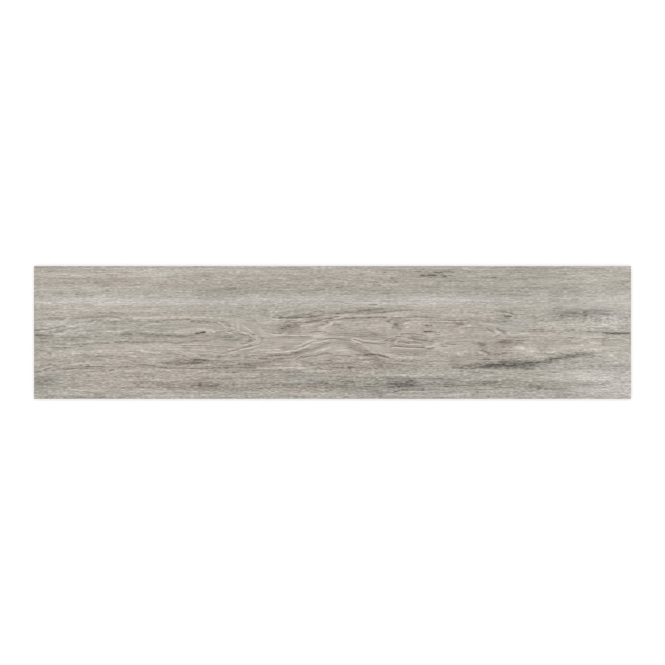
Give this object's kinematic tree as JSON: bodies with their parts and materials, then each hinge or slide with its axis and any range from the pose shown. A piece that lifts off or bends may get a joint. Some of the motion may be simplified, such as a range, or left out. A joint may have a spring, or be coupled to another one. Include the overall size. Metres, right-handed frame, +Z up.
{
  "type": "wood-look porcelain floor tile",
  "caption": "Flat rectangular porcelain floor plank with a weathered grey wood-look face, square ground edges eased at the rim and a keyed back for bedding adhesive.",
  "frame": {"origin": "centre of the bed plane, where the feet of the back ribs touch the floor", "axes": "+X along the plank, +Y across it, +Z up through the patterned face"},
  "size_m": [0.9, 0.2, 0.01],
  "materials": {
    "porcelain": "matt printed glaze with a grey oak grain, fired on through-body porcelain"
  },
  "bodies": {
    "root": {"plank_tile": "porcelain"}
  },
  "joints": []
}
